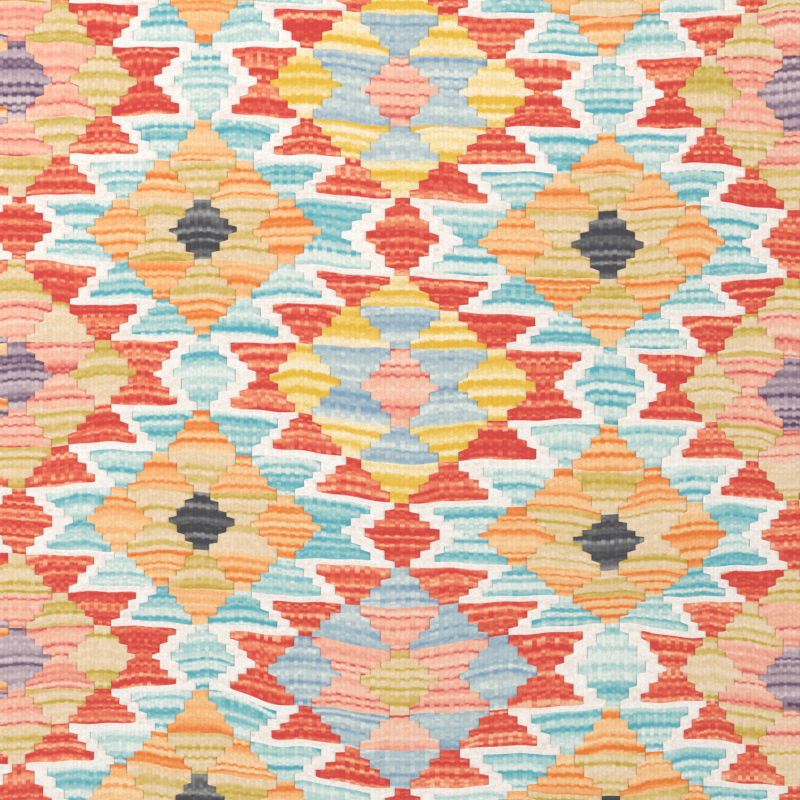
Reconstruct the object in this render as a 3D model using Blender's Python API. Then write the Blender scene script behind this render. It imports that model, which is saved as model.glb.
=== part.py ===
"""A cut length of kilim rug, laid flat.

One cloth of slit tapestry: the warps run along Y, hidden under the wefts, and
each one shows as a rounded rib. The underside is flat. The outline is a hand
weaver's: the warps wander a little, and the ends and sides aren't quite straight.

Metres, +Z up. The origin is at the middle of the underside. The wefts run
along X and the warps along Y.
"""

import math

import bmesh
import bpy

# The warps, seen as ribs
WARP_PITCH = 0.0024
WARP_COUNT = 208

# The cloth
CLOTH_WIDTH = WARP_PITCH * WARP_COUNT
CLOTH_LENGTH = 0.500
THICKNESS = 0.0040
RIB_HEIGHT = 0.0007
EDGE_THICKNESS = 0.0024
END_ROUNDING = 0.0020

# How far a hand weaver's lines stray from straight ones
SIDE_DRIFT = 0.0011
SIDE_WAVES = 1.4
END_DRIFT = 0.0009
END_WAVES = 2.2
END_LEAN = 0.0012

# Stations along the cloth, as shares of its length from one end to the other
INNER_STATIONS = (0.2, 0.4, 0.6, 0.8)

# Warps from one corner of the underside's outline to the next
WARPS_PER_CORNER = 16

# The most a rib's faces turn over its crest, below which shading stays smooth
SMOOTH_ANGLE = math.radians(72)

COLUMNS = 2 * WARP_COUNT
ROUNDED_SHARE = END_ROUNDING / CLOTH_LENGTH
STATIONS = (0.0, ROUNDED_SHARE, *INNER_STATIONS, 1.0 - ROUNDED_SHARE, 1.0)
ROWS = len(STATIONS) - 1


def clear_scene():
    for item in list(bpy.data.objects):
        bpy.data.objects.remove(item, do_unlink=True)


def wool_material(name, color, roughness):
    material = bpy.data.materials.new(name)
    material.use_nodes = True
    shader = material.node_tree.nodes["Principled BSDF"]
    shader.inputs["Base Color"].default_value = color
    shader.inputs["Roughness"].default_value = roughness
    shader.inputs["Metallic"].default_value = 0.0
    return material


def plan_point(across, along):
    """Where a point of the cloth lies, from its shares of the width and the length."""
    side_phase = 2.0 * math.pi * SIDE_WAVES * along
    end_phase = 2.0 * math.pi * END_WAVES * across
    x = (across - 0.5) * CLOTH_WIDTH + SIDE_DRIFT * math.sin(side_phase + across)
    y = (along - 0.5) * CLOTH_LENGTH + END_DRIFT * math.sin(end_phase + along)
    return x, y + END_LEAN * (across - 0.5)


def surface_height(column, row):
    """The upper side: crests on odd columns, grooves on even ones, and a lower rim."""
    if column in (0, COLUMNS) or row in (0, ROWS):
        return EDGE_THICKNESS
    if column % 2:
        return THICKNESS
    return THICKNESS - RIB_HEIGHT


def ribbed_surface(bm):
    """A flat grid, raised point by point into the ribs; returns its points by column and row."""
    made = bmesh.ops.create_grid(bm, x_segments=COLUMNS, y_segments=ROWS, size=1.0)
    points = {}
    for point in made["verts"]:
        column = round((point.co.x + 1.0) / 2.0 * COLUMNS)
        row = round((point.co.y + 1.0) / 2.0 * ROWS)
        points[column, row] = point
    for (column, row), point in points.items():
        x, y = plan_point(column / COLUMNS, STATIONS[row])
        point.co = (x, y, surface_height(column, row))
    return points


def rim_runs(points):
    """The rim, counter-clockwise from above, cut into runs between the underside's corners."""
    step = 2 * WARPS_PER_CORNER
    corners = [(column, 0) for column in range(0, COLUMNS, step)]
    corners += [(COLUMNS, row) for row in range(ROWS)]
    corners += [(column, ROWS) for column in range(COLUMNS, 0, -step)]
    corners += [(0, row) for row in range(ROWS, 0, -1)]
    rim = [(column, 0) for column in range(COLUMNS)]
    rim += [(COLUMNS, row) for row in range(ROWS)]
    rim += [(column, ROWS) for column in range(COLUMNS, 0, -1)]
    rim += [(0, row) for row in range(ROWS, 0, -1)]
    starts = [rim.index(corner) for corner in corners]
    rim.append(rim[0])
    ends = starts[1:] + [len(rim) - 1]
    return [[points[key] for key in rim[start:end + 1]] for start, end in zip(starts, ends)]


def rim_wall(bm, run, low_start, low_end):
    """A fan of faces from two corners of the underside up to one run of the rim."""
    middle = len(run) // 2
    for upper, following in zip(run[:middle], run[1:middle + 1]):
        bm.faces.new((low_start, following, upper))
    bm.faces.new((low_start, low_end, run[middle]))
    for upper, following in zip(run[middle:-1], run[middle + 1:]):
        bm.faces.new((low_end, following, upper))


def centre_on_box(bm):
    """Moves the cloth so that the middle of its outline's box is over the origin."""
    xs = [point.co.x for point in bm.verts]
    ys = [point.co.y for point in bm.verts]
    shift = (-(min(xs) + max(xs)) / 2.0, -(min(ys) + max(ys)) / 2.0, 0.0)
    bmesh.ops.translate(bm, verts=bm.verts, vec=shift)


def close_cloth(bm, points):
    runs = rim_runs(points)
    low = [bm.verts.new((run[0].co.x, run[0].co.y, 0.0)) for run in runs]
    for run, low_start, low_end in zip(runs, low, low[1:] + low[:1]):
        rim_wall(bm, run, low_start, low_end)
    bm.faces.new(low[::-1])


def make_kilim():
    bm = bmesh.new()
    points = ribbed_surface(bm)
    centre_on_box(bm)
    close_cloth(bm, points)
    bmesh.ops.recalc_face_normals(bm, faces=bm.faces)
    mesh = bpy.data.meshes.new("kilim")
    bm.to_mesh(mesh)
    bm.free()
    mesh.shade_smooth()
    mesh.set_sharp_from_angle(angle=SMOOTH_ANGLE)
    mesh.materials.append(wool_material("red_wool", (0.72, 0.09, 0.07, 1.0), 0.9))
    kilim = bpy.data.objects.new("kilim", mesh)
    bpy.context.scene.collection.objects.link(kilim)


clear_scene()
make_kilim()
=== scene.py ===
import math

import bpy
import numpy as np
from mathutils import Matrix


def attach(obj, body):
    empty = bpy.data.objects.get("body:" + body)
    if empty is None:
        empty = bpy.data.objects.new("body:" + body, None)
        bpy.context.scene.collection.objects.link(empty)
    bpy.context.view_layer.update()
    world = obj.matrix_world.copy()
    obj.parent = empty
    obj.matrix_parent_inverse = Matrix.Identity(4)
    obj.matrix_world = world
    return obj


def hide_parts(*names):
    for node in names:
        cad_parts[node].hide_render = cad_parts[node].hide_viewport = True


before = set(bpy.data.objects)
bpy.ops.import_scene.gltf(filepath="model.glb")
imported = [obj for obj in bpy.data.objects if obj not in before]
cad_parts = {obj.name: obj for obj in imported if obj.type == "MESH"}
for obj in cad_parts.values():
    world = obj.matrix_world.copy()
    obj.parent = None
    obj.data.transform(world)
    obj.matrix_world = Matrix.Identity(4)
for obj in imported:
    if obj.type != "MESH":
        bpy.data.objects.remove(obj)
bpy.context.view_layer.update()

# A cut length of kilim rug, woven pick by pick.
#
# The cloth is slit tapestry. 208 warps run along Y, hidden under the wefts, and each one
# shows as a rib. A pick is one pass of weft along X. It goes over every other warp, so a
# rib is a column of bumps, two picks tall, laid like bricks against the next rib's. Each
# colour of yarn is a piece of its own, and a slit opens where two colours meet along a warp.
#
# Places in the pattern are counted in steps of two ribs across and in picks down, both
# from the middle of the upper left orange medallion. Lengths are in metres.

SEED = 20617
MM = 0.001

# How whole numbers are mixed into chance: an odd factor and two shifts
MIX_FACTOR = np.uint64(0x9E3779B97F4A7C15)
MIX_SHIFT = np.uint64(29)
MIX_DROPPED_BITS = np.uint64(11)
MIX_RANGE = 2.0**53

# The loom
RIBS = 208
PICKS = 848
FIRST_STEP = -30.0
FIRST_PICK = -266
COLUMNS = 2 * RIBS

# The cloth's outline, which wanders as the solid's does
CLOTH_WIDTH = 0.4992
CLOTH_LENGTH = 0.500
SIDE_DRIFT = 0.0011
SIDE_WAVES = 1.4
END_DRIFT = 0.0009
END_WAVES = 2.2
END_LEAN = 0.0012

# How the pick lines and the warps waver inside it, as waves (size, turns per step, turns
# per pick, lag), and how far from the ends the pick lines waver in full
BEATING_WAVES = ((0.00035, 0.61, 0.013, 0.0), (0.00025, 1.37, -0.021, 2.0))
BEATING_INSET = 0.02
WARP_WAVES = ((0.00025, 0.45, 0.031, 0.0), (0.00015, -0.9, 0.083, 0.0))

# Heights of the upper side
CREST = 0.0040
CREST_DIP = 0.00035
CREST_SPREAD = 0.00016
GROOVE = 0.0032
SLIT_FLOOR = 0.0028
SLIT_HALF_GAP = 0.00008
RIM = 0.0024
END_ROUNDING = 0.0020

# The under side and the rim: how far in from the outline, and how high, the rim's lines run
UNDER_GROOVE = 0.0005
UNDER_PICKS = 7
RIM_TUCK = 0.0010
RIM_PROFILE = ((0.00040, 0.0006), (0.00008, 0.0011), (0.0, 0.0017), (0.0, RIM), (0.00030, 0.0026))

# The warps between the two sides
WARP_CREST = 0.0022
WARP_GROOVE = 0.0017
WARP_ROWS = 24
WARP_INSET_PICKS = 3

# The repeat of the pattern
RIBS_PER_STEP = 2
STEPS_PER_REPEAT = 44
PICKS_PER_REPEAT = 270
ROWS_PER_TIER = 4
STAIR_PICKS = (4, 8, 8, 8, 9, 9, 9, 9, 9, 9, 9, 9, 10, 10, 10, 10)
WIDEST_LOZENGE = 4
LOZENGE_SPACING = 10

# How far a medallion reaches where each of its tiers starts, in steps, and how much less on
# its left, where the white outline takes one rib more
REACH_BY_TIER = (16, 11, 6, 1)
WHITE_SPREAD = 0.5
LAST_TIER = len(REACH_BY_TIER) - 1

# The level white bands between the tiers, which are beaten down harder than the rest: how
# many picks they have, and how high they are
BAND_PICKS = 7
BAND_HEIGHT = 0.0031

# How cells are told apart: by repeat across and down, tier, chain, side, half and kind
MOST_REPEATS = 4
CELL_KEYS = (16, 16, 4, 8, 4, 2)
CELL_KINDS = 4
ORANGE = 1
GOLD = 2
OUTLINE = 3

# The medallions between the orange ones stand in columns, and the lower one in the middle
# column has a palette of its own
LEFT_COLUMN = -1
MIDDLE_COLUMN = 0
LOWER_LEVEL = 1

# Where the warps lie, as (steps, mm from the middle of the cloth)
WARP_PLACES = (
    (-22, -208.7),
    (-14, -170.5),
    (-8, -142.8),
    (0, -106.8),
    (8, -70.6),
    (14, -42.5),
    (22, 0.0),
    (30, 42.0),
    (36, 73.0),
    (44, 112.3),
    (52, 151.0),
    (58, 176.6),
    (66, 213.6),
)

# How far a column of medallions leans from the top of the cloth to its bottom, in mm
WARP_LEANS = ((-22, 0.0), (0, -2.7), (22, 0.0), (44, 3.3), (66, 0.0))

# Heights of the middles of the white bands where the medallions' tiers change, in mm above the
# middle of the cloth, along nine warps. The picks are beaten down harder in some places.
TIER_STEPS = (-22, -11, 0, 11, 22, 33, 44, 55, 66)
TIER_PLACES = (
    # picks -22    -11       0      11      22      33      44      55      66
    (-202.5, 219.0, 217.5, 216.5, 215.0, 212.0, 210.0, 208.0, 210.5, 214.0),
    (-166.5, 197.5, 194.5, 193.5, 194.0, 189.0, 188.0, 186.0, 189.0, 189.0),
    (-103.5, 153.0, 153.5, 155.0, 152.5, 148.0, 147.5, 147.0, 147.0, 144.5),
    (-31.5, 110.0, 111.0, 111.0, 111.5, 108.5, 105.5, 104.5, 107.5, 102.0),
    (31.5, 78.5, 74.0, 75.0, 72.5, 69.0, 66.0, 64.5, 66.5, 68.0),
    (67.5, 55.5, 53.5, 54.0, 54.0, 52.5, 48.0, 46.0, 47.5, 49.0),
    (103.5, 33.0, 34.0, 34.0, 32.5, 29.5, 29.0, 27.5, 25.5, 24.5),
    (166.5, -6.5, -4.0, -4.0, -8.5, -16.0, -12.5, -11.5, -13.0, -17.5),
    (238.5, -49.5, -46.0, -48.5, -50.0, -57.5, -56.0, -60.5, -53.5, -56.0),
    (301.5, -82.0, -84.0, -83.0, -87.5, -89.5, -91.0, -94.0, -92.5, -90.5),
    (337.5, -104.5, -102.5, -104.0, -108.0, -111.5, -108.0, -108.5, -108.5, -109.0),
    (373.5, -122.5, -121.0, -123.5, -126.5, -135.0, -126.5, -123.0, -128.0, -133.5),
    (436.5, -159.0, -158.5, -156.0, -168.0, -173.0, -170.0, -166.5, -165.5, -171.0),
    (508.5, -199.5, -197.0, -202.0, -206.0, -213.5, -211.5, -214.5, -208.5, -212.0),
)

# Each yarn: the dye from its darkest tone, 0, to its palest, 1, and the bands that the
# weaver laid with it, as (tone, fewest picks, most picks, how often). Its tone is uneven
# from pick to pick and flecked from bump to bump. Its groove is painted shade: how much
# darker its colour is made down between the ribs, where shade falls.
YARNS = {
    "red": {
        "dye": ((0.0, "E44A46"), (0.3, "F06754"), (0.55, "F98265"), (0.8, "FFA376"), (1.0, "FFC8A4")),
        "bands": ((0.15, 3, 8, 4.0), (0.0, 2, 3, 2.0), (0.6, 2, 5, 3.5), (0.9, 2, 4, 3.0)),
        "uneven": 0.21,
        "fleck": 0.13,
        "groove": 0.14,
    },
    "white": {
        "dye": ((0.0, "EFE2D9"), (0.5, "FDF5EE"), (1.0, "FFFDF9")),
        "bands": ((0.6, 6, 16, 3.0), (0.3, 1, 3, 1.0), (0.85, 3, 8, 1.5)),
        "uneven": 0.15,
        "fleck": 0.15,
        "groove": 0.08,
    },
    "turquoise": {
        "dye": ((0.0, "5CB8C8"), (0.25, "8CCCD1"), (0.5, "B5DDDA"), (0.75, "D4E9E3"), (1.0, "F0F7F1")),
        "bands": ((0.08, 3, 5, 2.5), (0.36, 3, 6, 2.5), (0.65, 3, 7, 3.0), (0.92, 4, 9, 4.0)),
        "uneven": 0.10,
        "fleck": 0.08,
        "groove": 0.12,
    },
    "orange": {
        "dye": ((0.0, "F6823B"), (0.25, "FC9D54"), (0.5, "FFB772"), (0.75, "FFCB90"), (1.0, "FFDFB2")),
        "bands": (
            (0.8, 4, 8, 4.0), (0.0, 2, 4, 3.5), (0.3, 2, 4, 1.5), (0.6, 3, 6, 1.0), (1.0, 2, 4, 1.5),
        ),
        "uneven": 0.03,
        "fleck": 0.05,
        "groove": 0.10,
    },
    "olive": {
        "dye": ((0.0, "D0AF3E"), (0.3, "E1C46C"), (0.6, "EDD39C"), (0.8, "F3DAB5"), (1.0, "F9E4CB")),
        "bands": ((0.8, 5, 10, 4.0), (0.0, 2, 3, 2.5), (0.35, 3, 8, 2.0), (0.95, 3, 5, 1.0)),
        "uneven": 0.05,
        "fleck": 0.08,
        "groove": 0.10,
    },
    "charcoal": {
        "dye": ((0.0, "505055"), (0.4, "777779"), (0.7, "9D9D9C"), (1.0, "BEBCBA")),
        "bands": ((0.0, 4, 9, 3.0), (0.35, 4, 8, 2.0), (0.7, 3, 5, 2.0)),
        "uneven": 0.08,
        "fleck": 0.08,
        "groove": 0.20,
    },
    "rose": {
        "dye": ((0.0, "DC5A5F"), (0.2, "F38B7E"), (0.45, "FEAF98"), (0.7, "FFC8AD"), (1.0, "FFE0CC")),
        "bands": (
            (0.75, 4, 9, 4.0), (0.5, 3, 6, 1.5), (0.0, 2, 2, 3.5), (0.25, 2, 3, 1.0), (0.95, 2, 4, 1.0),
        ),
        "uneven": 0.05,
        "fleck": 0.07,
        "groove": 0.12,
    },
    "violet": {
        "dye": ((0.0, "664E6F"), (0.3, "9A8093"), (0.6, "C0AAB5"), (0.85, "D8C3CA"), (1.0, "E7D4D7")),
        "bands": ((0.7, 3, 7, 3.0), (0.95, 2, 5, 2.0), (0.0, 2, 3, 3.0), (0.35, 3, 5, 1.0)),
        "uneven": 0.06,
        "fleck": 0.07,
        "groove": 0.18,
    },
    "gold": {
        "dye": ((0.0, "F2C13E"), (0.3, "F7D062"), (0.6, "FDE29B"), (0.85, "FFEDC2"), (1.0, "FFF3DA")),
        "bands": ((0.05, 4, 8, 2.5), (0.35, 3, 6, 1.5), (0.65, 3, 7, 2.5), (0.9, 4, 8, 3.5)),
        "uneven": 0.04,
        "fleck": 0.08,
        "groove": 0.10,
    },
    "blue": {
        "dye": ((0.0, "8AACC8"), (0.3, "ABC4D0"), (0.6, "C2D3D6"), (0.85, "D6E2DF"), (1.0, "E9EFE9")),
        "bands": ((0.6, 4, 9, 3.0), (0.85, 3, 7, 2.0), (0.05, 2, 3, 2.0), (0.35, 3, 6, 2.0)),
        "uneven": 0.09,
        "fleck": 0.11,
        "groove": 0.12,
    },
}
YARN_NAMES = tuple(YARNS)
WHITE = YARN_NAMES.index("white")

# The four yarns of a medallion, from its middle outwards
ORANGE_PALETTE = ("charcoal", "olive", "orange", "turquoise")
EDGE_PALETTE = ("violet", "rose", "olive", "red")
LEFT_EDGE_PALETTE = ("violet", "orange", "violet", "red")
MIDDLE_PALETTE = ("rose", "blue", "gold", "red")
LOWER_MIDDLE_PALETTE = ("olive", "rose", "blue", "red")

# How far a stair's edge strays by chance and is rounded at its corner, in picks
STAIR_SLACK = 1.0
CORNER_ROUNDING = 0.5

# How far a corner of a stair is drawn along its upright side, in picks, also where that
# side is only one pick tall
CORNER_EASE = 0.6
SHORT_CORNER_EASE = 0.4

# How a band lies across its cell, in picks, and how evenly it is dyed
LEAST_ARCH = 1.0
MOST_ARCH = 6.0
MOST_TILT = 1.5
FULL_ARCH_RIBS = 9.0
TONE_SPREAD = 0.035

# The yarn's own unevenness: of its tone along a pick, and of how light its fuzz is
MOTTLE = 0.42
MOTTLE_SCALE = (1100.0, 1400.0, 1100.0)
MOTTLE_DETAIL = 2.0
FUZZ = 0.38
FUZZ_SCALE = 1300.0
FUZZ_DETAIL = 1.0

# The under side: how much painted shade darkens it between its bumps, and the detail of its fuzz
UNDER_SHADE = 0.12
UNDER_FUZZ_DETAIL = 2.0

# Wool as a surface: matte, softly lit at a slant, with fibres that run along the pick
WOOL_SPECULAR = 0.15
WOOL_SHEEN = 0.12
WOOL_SHEEN_ROUGHNESS = 0.6
WOOL_ROUGHNESS = (0.80, 0.96)
FIBRE_SCALE = (910.0, 2600.0, 2600.0)
FIBRE_DETAIL = 3.0
FIBRE_BUMP = 0.35
FIBRE_HEIGHT = 0.0002

# The warps' undyed wool
GRAIN_SCALE = 700.0
GRAIN_DETAIL = 2.0
WARP_DYE = ((0.0, "CFC3B2"), (1.0, "EFE6D8"))

# How a colour code's numbers from 0 to 1 become linear light: straight up to the dark end of
# the scale, and along a curve above it
CODE_DARK = 0.04045
CODE_SLOPE = 12.92
CODE_OFFSET = 0.055
CODE_POWER = 2.4

# How much of its width a piece's map from above takes up
MAP_FILL = 0.98

# The studio: a pale floor, even light all round and a wide lamp to the upper left
FLOOR_SIZE = 6.0
FLOOR_PAINT = (0.8, 0.79, 0.77, 1.0)
FLOOR_ROUGHNESS = 0.9
ROOM_LIGHT = (1.0, 0.985, 0.97, 1.0)
ROOM_STRENGTH = 0.82
LAMP_SIZE = 0.8
LAMP_WATTS = 11.5
LAMP_PLACE = (-0.9, 1.0, 1.3)

# The camera, straight above the cloth and far enough off that nothing leans
EYE_HEIGHT = 3.0
VIEW_WIDTH = 0.436
SENSOR_WIDTH = 36.0


def chance(*keys):
    """A number from 0 to 1 that is always the same for the same whole numbers."""
    mixed = np.full((1,), SEED, dtype=np.uint64)
    for key in keys:
        mixed = (mixed ^ np.asarray(key).astype(np.int64).astype(np.uint64)) * MIX_FACTOR
        mixed = mixed ^ (mixed >> MIX_SHIFT)
    return (mixed >> MIX_DROPPED_BITS).astype(float) / MIX_RANGE


def stair_row(down, tier, across, keys):
    """The row of its tier's stair that a place is in, at a distance from a medallion's middle.

    A stair's corners are rounded: at an edge that draws in with the distance, the outer of a
    step's two ribs turns early and the inner one late, and the other way at one that spreads.
    """
    step = np.floor(across)
    outer = np.where(across - step > 0.5, 1.0, -1.0)
    spreads = (step % LOZENGE_SPACING >= LOZENGE_SPACING / 2) ^ (tier % 2 == 1)
    slack = np.round(STAIR_SLACK * (2.0 * chance(*keys, step) - 1.0))
    slack = slack + CORNER_ROUNDING * np.where(spreads, -outer, outer)
    row = np.searchsorted(np.cumsum(STAIR_PICKS), down + slack, side="right")
    return np.clip(row - ROWS_PER_TIER * tier, 0, ROWS_PER_TIER - 1)


def tier_at(down):
    """The tier of lozenges at a distance above or below a medallion's middle."""
    return np.searchsorted(np.cumsum(STAIR_PICKS), down, side="right") // ROWS_PER_TIER


def lozenges(across, down, keys, left_half):
    """The chain of lozenges that a place is in, and whether it is inside the medallion.

    The white to the left of a medallion takes one rib more of it than the white to its right.
    """
    tier = tier_at(down)
    row = stair_row(down, tier, across, keys)
    half = np.where(tier % 2 == 1, 1 + row, WIDEST_LOZENGE - row)
    edges = (half, LOZENGE_SPACING - half, LOZENGE_SPACING + half, 2 * LOZENGE_SPACING - half)
    chain = sum((across > edge).astype(int) for edge in edges)
    number = np.minimum(tier + chain, len(ORANGE_PALETTE) - 1)
    outwards = across + WHITE_SPREAD * left_half
    reach = np.array(REACH_BY_TIER)[tier] + stair_row(down, tier, outwards, keys)
    return number, chain, outwards < reach


def pattern():
    """For each rib and pick: its yarn, and the number of the cell whose bands it shares."""
    steps = FIRST_STEP + (np.arange(RIBS)[:, None] + 0.5) / RIBS_PER_STEP
    picks = FIRST_PICK + np.arange(PICKS)[None, :] + 0.5

    column = np.round(steps / STEPS_PER_REPEAT).astype(int)
    level = np.round(picks / PICKS_PER_REPEAT).astype(int)
    offset = steps - STEPS_PER_REPEAT * column
    drop = picks - PICKS_PER_REPEAT * level
    gold_column = np.floor(steps / STEPS_PER_REPEAT).astype(int)
    gold_level = np.floor(picks / PICKS_PER_REPEAT).astype(int)
    right = offset > 0

    # A lozenge on a medallion's level axis has no upper and lower half, and the outermost
    # ones are shared with the medallion above or below.
    gold_down = PICKS_PER_REPEAT / 2 - np.abs(drop)
    tier = tier_at(np.abs(drop))
    gold_tier = tier_at(gold_down)
    below = (drop > 0) & (tier % LAST_TIER > 0)
    gold_below = (drop > 0) & (gold_tier % LAST_TIER > 0)
    row_level = np.where(tier == LAST_TIER, gold_level, level)
    gold_row_level = np.where(gold_tier == LAST_TIER, level, gold_level)

    orange_keys = (ORANGE, column, row_level, tier, right, below)
    number, chain, inside = lozenges(np.abs(offset), np.abs(drop), orange_keys, ~right)
    gold_keys = (GOLD, gold_column, gold_row_level, gold_tier, right, gold_below)
    gold_across = STEPS_PER_REPEAT / 2 - np.abs(offset)
    gold_number, gold_chain, gold_inside = lozenges(gold_across, gold_down, gold_keys, right)

    edge = gold_column != MIDDLE_COLUMN
    lower = (gold_column == MIDDLE_COLUMN) & (gold_level == LOWER_LEVEL)
    gold_yarn = palette_yarn(MIDDLE_PALETTE, gold_number)
    gold_yarn = np.where(lower, palette_yarn(LOWER_MIDDLE_PALETTE, gold_number), gold_yarn)
    gold_yarn = np.where(edge, palette_yarn(EDGE_PALETTE, gold_number), gold_yarn)
    left_edge = (gold_column == LEFT_COLUMN) & right & (gold_chain > 0)
    gold_yarn = np.where(left_edge, palette_yarn(LEFT_EDGE_PALETTE, gold_number), gold_yarn)
    yarn = np.where(gold_inside, gold_yarn, WHITE)
    yarn = np.where(inside, palette_yarn(ORANGE_PALETTE, number), yarn)

    cell = numbered(column, row_level, tier, chain, right, below)
    gold_cell = numbered(gold_column, gold_row_level, gold_tier, gold_chain, right, gold_below)
    white_cell = numbered(column, level, tier, np.zeros_like(chain), right, drop > 0)
    kind = np.where(inside, ORANGE, np.where(gold_inside, GOLD, OUTLINE))
    cells = np.where(inside, cell, np.where(gold_inside, gold_cell, white_cell))
    return yarn, cells * CELL_KINDS + kind


def palette_yarn(palette, number):
    return np.array([YARN_NAMES.index(name) for name in palette])[number]


def numbered(column, level, tier, chain, right, below):
    """A whole number for each cell of a medallion. Those on its upright axis have no sides."""
    side = np.where(chain > 0, 1 + right, 0)
    keys = (column + MOST_REPEATS, level + MOST_REPEATS, tier, chain, side, below.astype(int))
    return np.ravel_multi_index(keys, CELL_KEYS)


def band_tones(bands, length, draw):
    """The tone of each pick in a run of them, band by band."""
    odds = np.array([band[3] for band in bands])
    tones = []
    last = -1
    while len(tones) < length:
        allowed = odds * (np.arange(len(bands)) != last)
        last = draw.choice(len(bands), p=allowed / allowed.sum())
        tone, fewest, most, _ = bands[last]
        thickness = draw.integers(fewest, most + 1)
        tones += [tone + draw.normal(0.0, TONE_SPREAD)] * thickness
    return np.array(tones[:length])


def tones_of(yarn, cells):
    """The tone of each rib and pick; the beating has arched and tilted each cell's bands."""
    tone = np.zeros(cells.shape)
    order = np.argsort(cells, axis=None, kind="stable")
    starts = np.flatnonzero(np.diff(cells.ravel()[order], prepend=-1))
    for members in np.split(order, starts[1:]):
        ribs, picks = np.unravel_index(members, cells.shape)
        name = YARN_NAMES[yarn[ribs[0], picks[0]]]
        draw = np.random.default_rng((SEED, int(cells[ribs[0], picks[0]])))
        middle = (ribs.min() + ribs.max()) / 2.0
        half = (ribs.max() - ribs.min()) / 2.0 + 1.0
        across = (ribs - middle) / half
        size = min(1.0, half / FULL_ARCH_RIBS)
        arch = size * draw.uniform(LEAST_ARCH, MOST_ARCH)
        tilt = size * draw.uniform(-1.0, 1.0) * MOST_TILT
        row = picks + arch * (1.0 - across**2) + tilt * across
        row -= row.min()
        tones = band_tones(YARNS[name]["bands"], int(row.max()) + 2, draw)
        unevenness = draw.normal(0.0, YARNS[name]["uneven"], len(tones))
        banded = np.interp(row, np.arange(len(tones)), tones)
        tone[ribs, picks] = banded + unevenness[np.round(row).astype(int)]
    amounts = np.array([YARNS[name]["fleck"] for name in YARN_NAMES])
    flecks = np.random.default_rng(SEED).normal(0.0, 1.0, cells.shape)
    return tone + flecks * amounts[yarn]


def smooth(share):
    return share * share * (3.0 - 2.0 * share)


def outline_sides(along):
    """The x of the left and right edges, at shares of the length from the lower end."""
    phase = 2.0 * math.pi * SIDE_WAVES * along
    left = -CLOTH_WIDTH / 2.0 + SIDE_DRIFT * np.sin(phase)
    return left, CLOTH_WIDTH / 2.0 + SIDE_DRIFT * np.sin(phase + 1.0)


def outline_ends(across):
    """The y of the lower and upper ends, at shares of the width from the left."""
    phase = 2.0 * math.pi * END_WAVES * across
    lean = END_LEAN * (across - 0.5)
    lower = -CLOTH_LENGTH / 2.0 + END_DRIFT * np.sin(phase) + lean
    return lower, CLOTH_LENGTH / 2.0 + END_DRIFT * np.sin(phase + 1.0) + lean


def wavering(waves, steps, picks):
    """The sum of waves that run over the cloth, each one its size, turns and lag."""
    return sum(
        size * np.sin(per_step * steps[:, None] + per_pick * picks + lag)
        for size, per_step, per_pick, lag in waves
    )


def pick_lines(steps, picks):
    """The y of each pick line along each column, from the heights known at the tiers' rows."""
    places = np.array(TIER_PLACES)
    to_band_edges = np.tile((-0.5, 0.5), len(places))
    bands = np.repeat(places[:, 0], 2) + to_band_edges * BAND_PICKS
    knots = np.concatenate(([picks[0]], bands, [picks[-1]]))
    spot = np.interp(steps, TIER_STEPS, np.arange(len(TIER_STEPS)))
    first = np.minimum(spot.astype(int), len(TIER_STEPS) - 2)
    share = smooth(spot - first)
    known = places[:, 1:] * MM
    tiers = known[:, first] * (1.0 - share) + known[:, first + 1] * share
    tiers = np.repeat(tiers, 2, axis=0) - to_band_edges[:, None] * BAND_HEIGHT
    lower, upper = outline_ends(np.arange(COLUMNS + 1) / COLUMNS)
    levels = np.vstack((upper, tiers, lower))
    y = np.stack([np.interp(picks, knots, column) for column in levels.T])
    inset = np.minimum(y - lower[:, None], upper[:, None] - y)
    ease = smooth(np.clip(inset / BEATING_INSET, 0.0, 1.0))
    return y + wavering(BEATING_WAVES, steps, picks) * ease


def plan():
    """The x and y of each groove, crest and pick line of the cloth, by column and row."""
    steps = FIRST_STEP + np.arange(COLUMNS + 1) / 2.0 / RIBS_PER_STEP
    picks = FIRST_PICK + np.arange(PICKS + 1)
    y = pick_lines(steps, picks)

    along = (y + CLOTH_LENGTH / 2.0) / CLOTH_LENGTH
    known = np.array(WARP_PLACES)
    leans = np.array(WARP_LEANS)
    x = np.interp(steps, known[:, 0], known[:, 1])[:, None] * MM
    x = x + np.interp(steps, leans[:, 0], leans[:, 1])[:, None] * MM * (1.0 - along)
    x += wavering(WARP_WAVES, steps, picks)
    left, right = outline_sides(along)
    first_known = np.flatnonzero(steps == known[0, 0])[0]
    last_known = np.flatnonzero(steps == known[-1, 0])[0]
    share = (first_known - np.arange(first_known))[:, None] / first_known
    x[:first_known] = x[first_known] + (left[:first_known] - x[first_known]) * share
    share = (np.arange(last_known + 1, COLUMNS + 1) - last_known)[:, None] / (COLUMNS - last_known)
    x[last_known + 1:] = x[last_known] + (right[last_known + 1:] - x[last_known]) * share
    middle_x = (x.min() + x.max()) / 2.0
    middle_y = (y.min() + y.max()) / 2.0
    return x - middle_x, y - middle_y


def ease_corners(y, yarn):
    """Draws each corner where two yarns meet along its upright side, to soften the stairs."""
    upright = yarn[:-1] != yarn[1:]
    level = yarn[:, :-1] != yarn[:, 1:]
    above, below = upright[:, :-1], upright[:, 1:]
    corner = (above != below) & (level[:-1] != level[1:])
    long_above = np.pad(above[:, :-1], ((0, 0), (1, 0)))
    long_below = np.pad(below[:, 1:], ((0, 0), (0, 1)))
    up = np.where(long_above, CORNER_EASE, SHORT_CORNER_EASE) * (corner & above)
    down = np.where(long_below, CORNER_EASE, SHORT_CORNER_EASE) * (corner & below)
    grooves = y[2:-2:2]
    rise = grooves[:, :-2] - grooves[:, 1:-1]
    fall = grooves[:, 2:] - grooves[:, 1:-1]
    eased = y.copy()
    eased[2:-2:2, 1:-1] += up * rise + down * fall
    return eased


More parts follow.
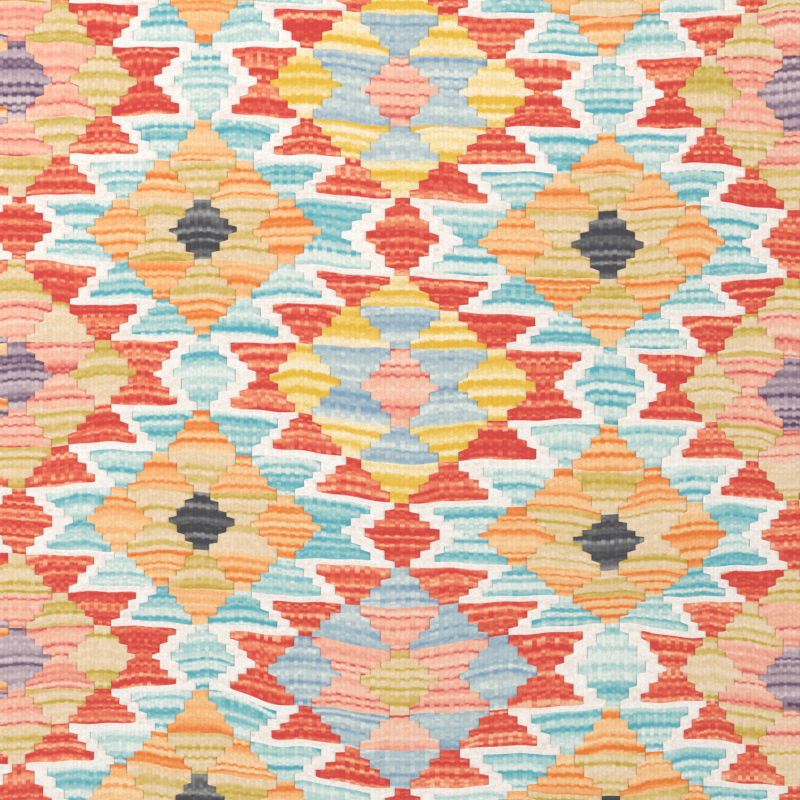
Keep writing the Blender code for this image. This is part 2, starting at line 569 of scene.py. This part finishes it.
def heights(y, yarn):
    """The upper side's heights: bumps along the crests, grooves between them, low edges."""
    z = np.full((COLUMNS + 1, PICKS + 1), GROOVE)
    rib = np.arange(RIBS)[:, None]
    row = np.arange(PICKS + 1)[None, :]
    proud = (rib + row) % 2 == 0
    proud[:, 1:-1] &= yarn[:, 1:] == yarn[:, :-1]
    spread = np.random.default_rng(SEED + 1).uniform(-1.0, 0.0, (RIBS, PICKS + 1))
    z[1::2] = CREST + spread * CREST_SPREAD - np.where(proud, 0.0, CREST_DIP)
    inset = np.minimum(y - y[:, -1:], y[:, :1] - y)
    share = np.clip(inset / END_ROUNDING, 0.0, 1.0)
    z = RIM + (z - RIM) * np.sqrt(share * (2.0 - share))
    z[0] = RIM
    z[-1] = RIM
    return z


def shown_tones(tone, cells):
    """The tone at each rib and row: that of the pick that goes over the rib there."""
    rib = np.arange(RIBS)[:, None]
    row = np.arange(PICKS)[None, :]
    over = np.minimum(row + (rib + row) % 2, PICKS - 1)
    over = np.where(cells[rib, over] == cells, over, row)
    return tone[rib, over]


def bead_ends(tone, yarn):
    """The tones at the upper and lower ends of each rib's rows, where they blend into the next."""
    joined = yarn[:, 1:] == yarn[:, :-1]
    between = (tone[:, 1:] + tone[:, :-1]) / 2.0
    upper = tone.copy()
    upper[:, 1:] = np.where(joined, between, tone[:, 1:])
    lower = tone.copy()
    lower[:, :-1] = np.where(joined, between, tone[:, :-1])
    return upper, lower


def slits(yarn):
    """Where two yarns meet along a groove for two rows or more, by column and row."""
    slit = np.zeros((COLUMNS + 1, PICKS + 1), bool)
    left = yarn[:-1]
    right = yarn[1:]
    differs = left != right
    steady = (left[:, 1:] == left[:, :-1]) & (right[:, 1:] == right[:, :-1])
    slit[2:-2:2, 1:-1] = differs[:, 1:] & differs[:, :-1] & steady
    return slit


def cell_corners(column, row, count):
    """The corners of a grid's cells, counter-clockwise from above, with count points a column."""
    first = column * count + row
    return np.stack((first + 1, first + count + 1, first + count, first), axis=1)


def new_piece(name, points, quads):
    """A smooth piece made of four-sided faces."""
    mesh = bpy.data.meshes.new(name)
    mesh.vertices.add(len(points))
    mesh.vertices.foreach_set("co", points.astype(np.float32).ravel())
    mesh.loops.add(4 * len(quads))
    mesh.loops.foreach_set("vertex_index", quads.astype(np.int32).ravel())
    mesh.polygons.add(len(quads))
    mesh.polygons.foreach_set("loop_start", np.arange(0, 4 * len(quads), 4, dtype=np.int32))
    mesh.update(calc_edges=True)
    mesh.validate()
    mesh.shade_smooth()
    piece = bpy.data.objects.new(name, mesh)
    bpy.context.scene.collection.objects.link(piece)

    # A map of the piece seen from straight above
    places = points[:, :2] / CLOTH_WIDTH * MAP_FILL + 0.5
    layer = mesh.uv_layers.new(name="OFBake")
    layer.uv.foreach_set("vector", places[quads.ravel()].astype(np.float32).ravel())
    return piece


def weft_piece(number, x, y, z, yarn, ends, slit):
    """All that shows of one yarn on the upper side."""
    rib, row = np.nonzero(yarn == number)
    column = np.concatenate((2 * rib, 2 * rib + 1))
    row = np.concatenate((row, row))
    rib = np.concatenate((rib, rib))
    corners = cell_corners(column, row, PICKS + 1)
    used, quads = np.unique(corners, return_inverse=True)
    quads = quads.reshape(-1, 4)
    at = np.unravel_index(used, x.shape)
    left_rib = np.clip(at[0] // 2 - 1, 0, RIBS - 1)
    on_left = yarn[left_rib, np.minimum(at[1], PICKS - 1)] == number
    pull = np.where(on_left, -SLIT_HALF_GAP, SLIT_HALF_GAP) * slit[at]
    points = np.stack((x[at] + pull, y[at], np.where(slit[at], SLIT_FLOOR, z[at])), axis=1)
    piece = new_piece("weft_" + YARN_NAMES[number], points, quads)
    upper, lower = (tones[rib, row] for tones in ends)
    tones = np.stack((lower, lower, upper, upper), axis=1)
    attribute = piece.data.attributes.new("tone", "FLOAT", "CORNER")
    attribute.data.foreach_set("value", tones.astype(np.float32).ravel())
    return piece


def linear(code):
    """A colour's linear red, green and blue from its six hexadecimal digits."""
    shares = np.array(list(bytes.fromhex(code))) / 255.0
    curve = ((shares + CODE_OFFSET) / (1.0 + CODE_OFFSET)) ** CODE_POWER
    return np.where(shares <= CODE_DARK, shares / CODE_SLOPE, curve)


def dyed(yarn, tone):
    """The linear colour of a yarn at a tone, for arrays of both."""
    colour = np.ones((*yarn.shape, 4))
    for number, name in enumerate(YARN_NAMES):
        spots = [spot for spot, _ in YARNS[name]["dye"]]
        stops = np.array([linear(code) for _, code in YARNS[name]["dye"]])
        these = yarn == number
        for channel in range(3):
            colour[these, channel] = np.interp(tone[these], spots, stops[:, channel])
    return colour


def under_rows():
    """The pick lines of the under side: where a medallion changes, and a few in between."""
    ends = np.cumsum(STAIR_PICKS)
    half_repeat = PICKS_PER_REPEAT // 2
    first, last = FIRST_PICK // half_repeat, (FIRST_PICK + PICKS) // half_repeat
    middles = half_repeat * np.arange(first, last + 1)
    changes = np.concatenate([middle + side * ends for middle in middles for side in (-1, 1)])
    changes = np.unique(changes) - FIRST_PICK
    changes = changes[(changes > 0) & (changes < PICKS)]
    changes = np.concatenate(([0], changes, [PICKS]))
    lines = [0]
    for start, end in zip(changes, changes[1:]):
        parts = math.ceil((end - start) / UNDER_PICKS)
        lines += [start + (end - start) * part // parts for part in range(1, parts + 1)]
    return np.array(lines)


def rim_loop(count):
    """The columns and rows of the rim, clockwise from above from the upper left corner."""
    loop = [(column, 0) for column in range(COLUMNS)]
    loop += [(COLUMNS, row) for row in range(count - 1)]
    loop += [(column, count - 1) for column in range(COLUMNS, 0, -1)]
    loop += [(0, row) for row in range(count - 1, 0, -1)]
    return np.array(loop)


def weave_places(column, pick):
    """Where points lie in the weave, in ribs and picks."""
    return np.stack((column / 2.0, pick, np.zeros(len(pick))), axis=1)


def back_piece(x, y, yarn, tone):
    """The under side and the rounded rim, in every yarn's colour."""
    rows = under_rows()
    count = len(rows)
    face_yarn = yarn[:, (rows[:-1] + rows[1:]) // 2]
    face_tone = np.add.reduceat(tone, rows[:-1], axis=1) / np.diff(rows)
    upper, lower = (dyed(face_yarn, ends) for ends in bead_ends(face_tone, face_yarn))

    outline = np.stack((x[:, rows], y[:, rows]), axis=2)
    under = np.zeros((COLUMNS + 1, count, 3))
    under[:, :, :2] = outline
    under[0, :, 0] += RIM_TUCK
    under[-1, :, 0] -= RIM_TUCK
    under[:, 0, 1] -= RIM_TUCK
    under[:, -1, 1] += RIM_TUCK
    under[::2, :, 2] = UNDER_GROOVE
    under[[0, -1], :, 2] = UNDER_GROOVE / 2.0
    points = [under.reshape(-1, 3)]
    column, row = np.indices((COLUMNS, count - 1)).reshape(2, -1)
    quads = [cell_corners(column, row, count)[:, ::-1]]
    above, below = upper[column // 2, row], lower[column // 2, row]
    colours = [np.stack((above, above, below, below), axis=1)]
    column, row = np.indices((COLUMNS + 1, count)).reshape(2, -1)
    weave = [weave_places(column, rows[row])]

    loop = rim_loop(count)
    column, row = loop.T
    outwards = np.stack((
        (column == COLUMNS).astype(float) - (column == 0),
        (row == 0).astype(float) - (row == count - 1),
    ), axis=1)
    beside = np.minimum(loop, np.roll(loop, -1, axis=0))
    rib = np.minimum(beside[:, 0] // 2, RIBS - 1)
    face_row = np.minimum(beside[:, 1], count - 2)
    rim_colour = dyed(face_yarn[rib, face_row], face_tone[rib, face_row])
    below = column * count + row
    total = len(points[0])
    for inset, height in RIM_PROFILE:
        ring = outline[column, row] - inset * outwards
        points.append(np.column_stack((ring, np.full(len(loop), height))))
        above = total + np.arange(len(loop))
        total += len(loop)
        quads.append(np.stack((below, above, np.roll(above, -1), np.roll(below, -1)), axis=1))
        colours.append(np.repeat(rim_colour[:, None], 4, axis=1))
        weave.append(weave_places(column, rows[row]))
        below = above

    points = np.concatenate(points)
    quads = np.concatenate(quads)
    piece = new_piece("cloth_back", points, quads)
    attribute = piece.data.attributes.new("dye", "FLOAT_COLOR", "CORNER")
    attribute.data.foreach_set("color", np.concatenate(colours).astype(np.float32).ravel())
    attribute = piece.data.attributes.new("weave", "FLOAT_VECTOR", "POINT")
    attribute.data.foreach_set("vector", np.concatenate(weave).astype(np.float32).ravel())
    return piece


def warp_piece(x, y):
    """The warps, side by side between the two faces of the cloth."""
    rows = np.linspace(WARP_INSET_PICKS, PICKS - WARP_INSET_PICKS, WARP_ROWS + 1)
    rows = np.round(rows).astype(int)
    z = np.full((COLUMNS - 1, len(rows)), WARP_GROOVE)
    z[::2] = WARP_CREST
    points = np.stack((x[1:-1, rows], y[1:-1, rows], z), axis=2).reshape(-1, 3)
    column, row = np.indices((COLUMNS - 2, WARP_ROWS)).reshape(2, -1)
    return new_piece("warps", points, cell_corners(column, row, WARP_ROWS + 1))


def link(material, source, target):
    material.node_tree.links.new(source, target)


def new_node(material, kind, **settings):
    node = material.node_tree.nodes.new(kind)
    for name, value in settings.items():
        setattr(node, name, value)
    return node


def maths(material, operation, *values):
    """The output of a maths node whose inputs are numbers or other nodes' outputs."""
    node = new_node(material, "ShaderNodeMath", operation=operation)
    for target, value in zip(node.inputs, values):
        if isinstance(value, float):
            target.default_value = value
        else:
            link(material, value, target)
    return node.outputs["Value"]


def map_range(material, value, start, end):
    """A value that runs over one range, moved and stretched to another."""
    node = new_node(material, "ShaderNodeMapRange")
    node.inputs["From Min"].default_value, node.inputs["From Max"].default_value = start
    node.inputs["To Min"].default_value, node.inputs["To Max"].default_value = end
    link(material, value, node.inputs["Value"])
    return node.outputs["Result"]


def split(material, vector):
    """A vector's X, Y and Z."""
    node = new_node(material, "ShaderNodeSeparateXYZ")
    link(material, vector, node.inputs["Vector"])
    return node.outputs


def noise(material, place, scale, detail):
    node = new_node(material, "ShaderNodeTexNoise")
    node.inputs["Scale"].default_value = scale
    node.inputs["Detail"].default_value = detail
    link(material, place, node.inputs["Vector"])
    return node.outputs["Fac"]


def stretched_noise(material, place, scales, detail):
    """Noise with a scale of its own along each axis."""
    stretch = new_node(material, "ShaderNodeMapping")
    stretch.inputs["Scale"].default_value = scales
    link(material, place, stretch.inputs["Vector"])
    return noise(material, stretch.outputs["Vector"], 1.0, detail)


def dye_ramp(material, tone, dye):
    """The colour at a tone, from a dye's tones and colour codes."""
    node = new_node(material, "ShaderNodeValToRGB")
    elements = node.color_ramp.elements
    while len(elements) < len(dye):
        elements.new(0.5)
    for element, (spot, code) in zip(elements, dye):
        element.position = spot
        element.color = (*linear(code), 1.0)
    link(material, tone, node.inputs["Fac"])
    return node.outputs["Color"]


def shaded(material, place, colour, height, span, painted_shade, detail):
    """A colour with painted shade: darker in the wool's low places, where shade falls, under uneven
    fuzz.
    """
    lightest = 1.0 - FUZZ / 2.0
    low = map_range(material, height, span, (lightest - painted_shade, lightest))
    fuzz = noise(material, place, FUZZ_SCALE, detail)
    light = maths(material, "MULTIPLY_ADD", fuzz, FUZZ, low)
    node = new_node(material, "ShaderNodeVectorMath", operation="SCALE")
    link(material, colour, node.inputs[0])
    link(material, light, node.inputs["Scale"])
    return node.outputs["Vector"]


def wool_base(name):
    """A matte wool shader, with the fibres of the yarn in its bump and roughness."""
    material = bpy.data.materials.new(name)
    material.use_nodes = True
    shader = material.node_tree.nodes["Principled BSDF"]
    shader.inputs["Specular IOR Level"].default_value = WOOL_SPECULAR
    shader.inputs["Sheen Weight"].default_value = WOOL_SHEEN
    shader.inputs["Sheen Roughness"].default_value = WOOL_SHEEN_ROUGHNESS

    place = new_node(material, "ShaderNodeTexCoord").outputs["Object"]
    fibres = stretched_noise(material, place, FIBRE_SCALE, FIBRE_DETAIL)
    bump = new_node(material, "ShaderNodeBump")
    bump.inputs["Strength"].default_value = FIBRE_BUMP
    bump.inputs["Distance"].default_value = FIBRE_HEIGHT
    link(material, fibres, bump.inputs["Height"])
    link(material, bump.outputs["Normal"], shader.inputs["Normal"])
    roughness = map_range(material, fibres, (0.0, 1.0), WOOL_ROUGHNESS)
    link(material, roughness, shader.inputs["Roughness"])
    return material, shader, place


def yarn_material(name):
    """A yarn's wool: its tone from the bands, mottled along each pick."""
    material, shader, place = wool_base("wool_" + name)
    band = new_node(material, "ShaderNodeAttribute", attribute_name="tone")
    mottle = stretched_noise(material, place, MOTTLE_SCALE, MOTTLE_DETAIL)
    change = maths(material, "MULTIPLY_ADD", mottle, MOTTLE, -MOTTLE / 2.0)
    tone = maths(material, "ADD", band.outputs["Fac"], change)
    dye = dye_ramp(material, tone, YARNS[name]["dye"])
    # Painted shade: the colour is darker the lower the wool lies, down in the grooves between the ribs
    # and between the bumps.
    height = split(material, place)["Z"]
    painted_shade = YARNS[name]["groove"]
    colour = shaded(material, place, dye, height, (GROOVE, CREST), painted_shade, FUZZ_DETAIL)
    link(material, colour, shader.inputs["Base Color"])
    return material


def back_material():
    """Wool in the colours of the under side, with the picks' bumps laid like bricks."""
    material, shader, place = wool_base("wool_back")
    weave = new_node(material, "ShaderNodeAttribute", attribute_name="weave")
    spot = split(material, weave.outputs["Vector"])
    turn = maths(material, "ADD", maths(material, "FLOOR", spot["X"]), spot["Y"])
    wave = maths(material, "SINE", maths(material, "MULTIPLY", turn, math.pi))
    beads = new_node(material, "ShaderNodeBump")
    beads.inputs["Distance"].default_value = CREST_DIP / 2.0
    link(material, wave, beads.inputs["Height"])
    fibres = shader.inputs["Normal"].links[0].from_node
    link(material, beads.outputs["Normal"], fibres.inputs["Normal"])

    dye = new_node(material, "ShaderNodeAttribute", attribute_name="dye").outputs["Color"]
    # Painted shade: the colour is darker where the weave's wave is low, between the bumps.
    colour = shaded(material, place, dye, wave, (-1.0, 1.0), UNDER_SHADE, UNDER_FUZZ_DETAIL)
    link(material, colour, shader.inputs["Base Color"])
    return material


def warp_material():
    """Undyed wool for the warps."""
    material, shader, place = wool_base("wool_warp")
    grain = noise(material, place, GRAIN_SCALE, GRAIN_DETAIL)
    link(material, dye_ramp(material, grain, WARP_DYE), shader.inputs["Base Color"])
    return material


def place_piece(piece, material):
    piece.data.materials.append(material)
    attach(piece, "root")
    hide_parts("kilim")


def make_cloth():
    yarn, cells = pattern()
    x, y = plan()
    y = ease_corners(y, yarn)
    z = heights(y, yarn)
    tone = shown_tones(tones_of(yarn, cells), cells)
    ends = bead_ends(tone, yarn)
    slit = slits(yarn)
    for number, name in enumerate(YARN_NAMES):
        piece = weft_piece(number, x, y, z, yarn, ends, slit)
        place_piece(piece, yarn_material(name))
    back = back_piece(x, y, yarn, tone)
    place_piece(back, back_material())
    warps = warp_piece(x, y)
    place_piece(warps, warp_material())


def make_studio():
    """A pale floor and soft light from above, a little stronger from the upper left."""
    bpy.ops.mesh.primitive_plane_add(size=FLOOR_SIZE)
    floor = bpy.context.object
    floor.name = "floor"
    material = bpy.data.materials.new("floor_paint")
    material.use_nodes = True
    shader = material.node_tree.nodes["Principled BSDF"]
    shader.inputs["Base Color"].default_value = FLOOR_PAINT
    shader.inputs["Roughness"].default_value = FLOOR_ROUGHNESS
    floor.data.materials.append(material)

    world = bpy.data.worlds.new("studio")
    world.use_nodes = True
    world.node_tree.nodes["Background"].inputs["Color"].default_value = ROOM_LIGHT
    world.node_tree.nodes["Background"].inputs["Strength"].default_value = ROOM_STRENGTH
    bpy.context.scene.world = world

    lamp = bpy.data.lights.new("key", "AREA")
    lamp.shape = "DISK"
    lamp.size = LAMP_SIZE
    lamp.energy = LAMP_WATTS
    key = bpy.data.objects.new("key", lamp)
    key.location = LAMP_PLACE
    key.rotation_euler = (-key.location).to_track_quat("-Z", "Y").to_euler()
    bpy.context.scene.collection.objects.link(key)


def make_camera():
    """Looks straight down, as the photo does."""
    camera = bpy.data.cameras.new("camera")
    camera.sensor_width = SENSOR_WIDTH
    camera.lens = SENSOR_WIDTH * EYE_HEIGHT / VIEW_WIDTH
    eye = bpy.data.objects.new("camera", camera)
    eye.location = (0.0, 0.0, EYE_HEIGHT + CREST)
    bpy.context.scene.collection.objects.link(eye)
    bpy.context.scene.camera = eye


bpy.context.scene.view_settings.view_transform = "Standard"
make_camera()
make_studio()
make_cloth()
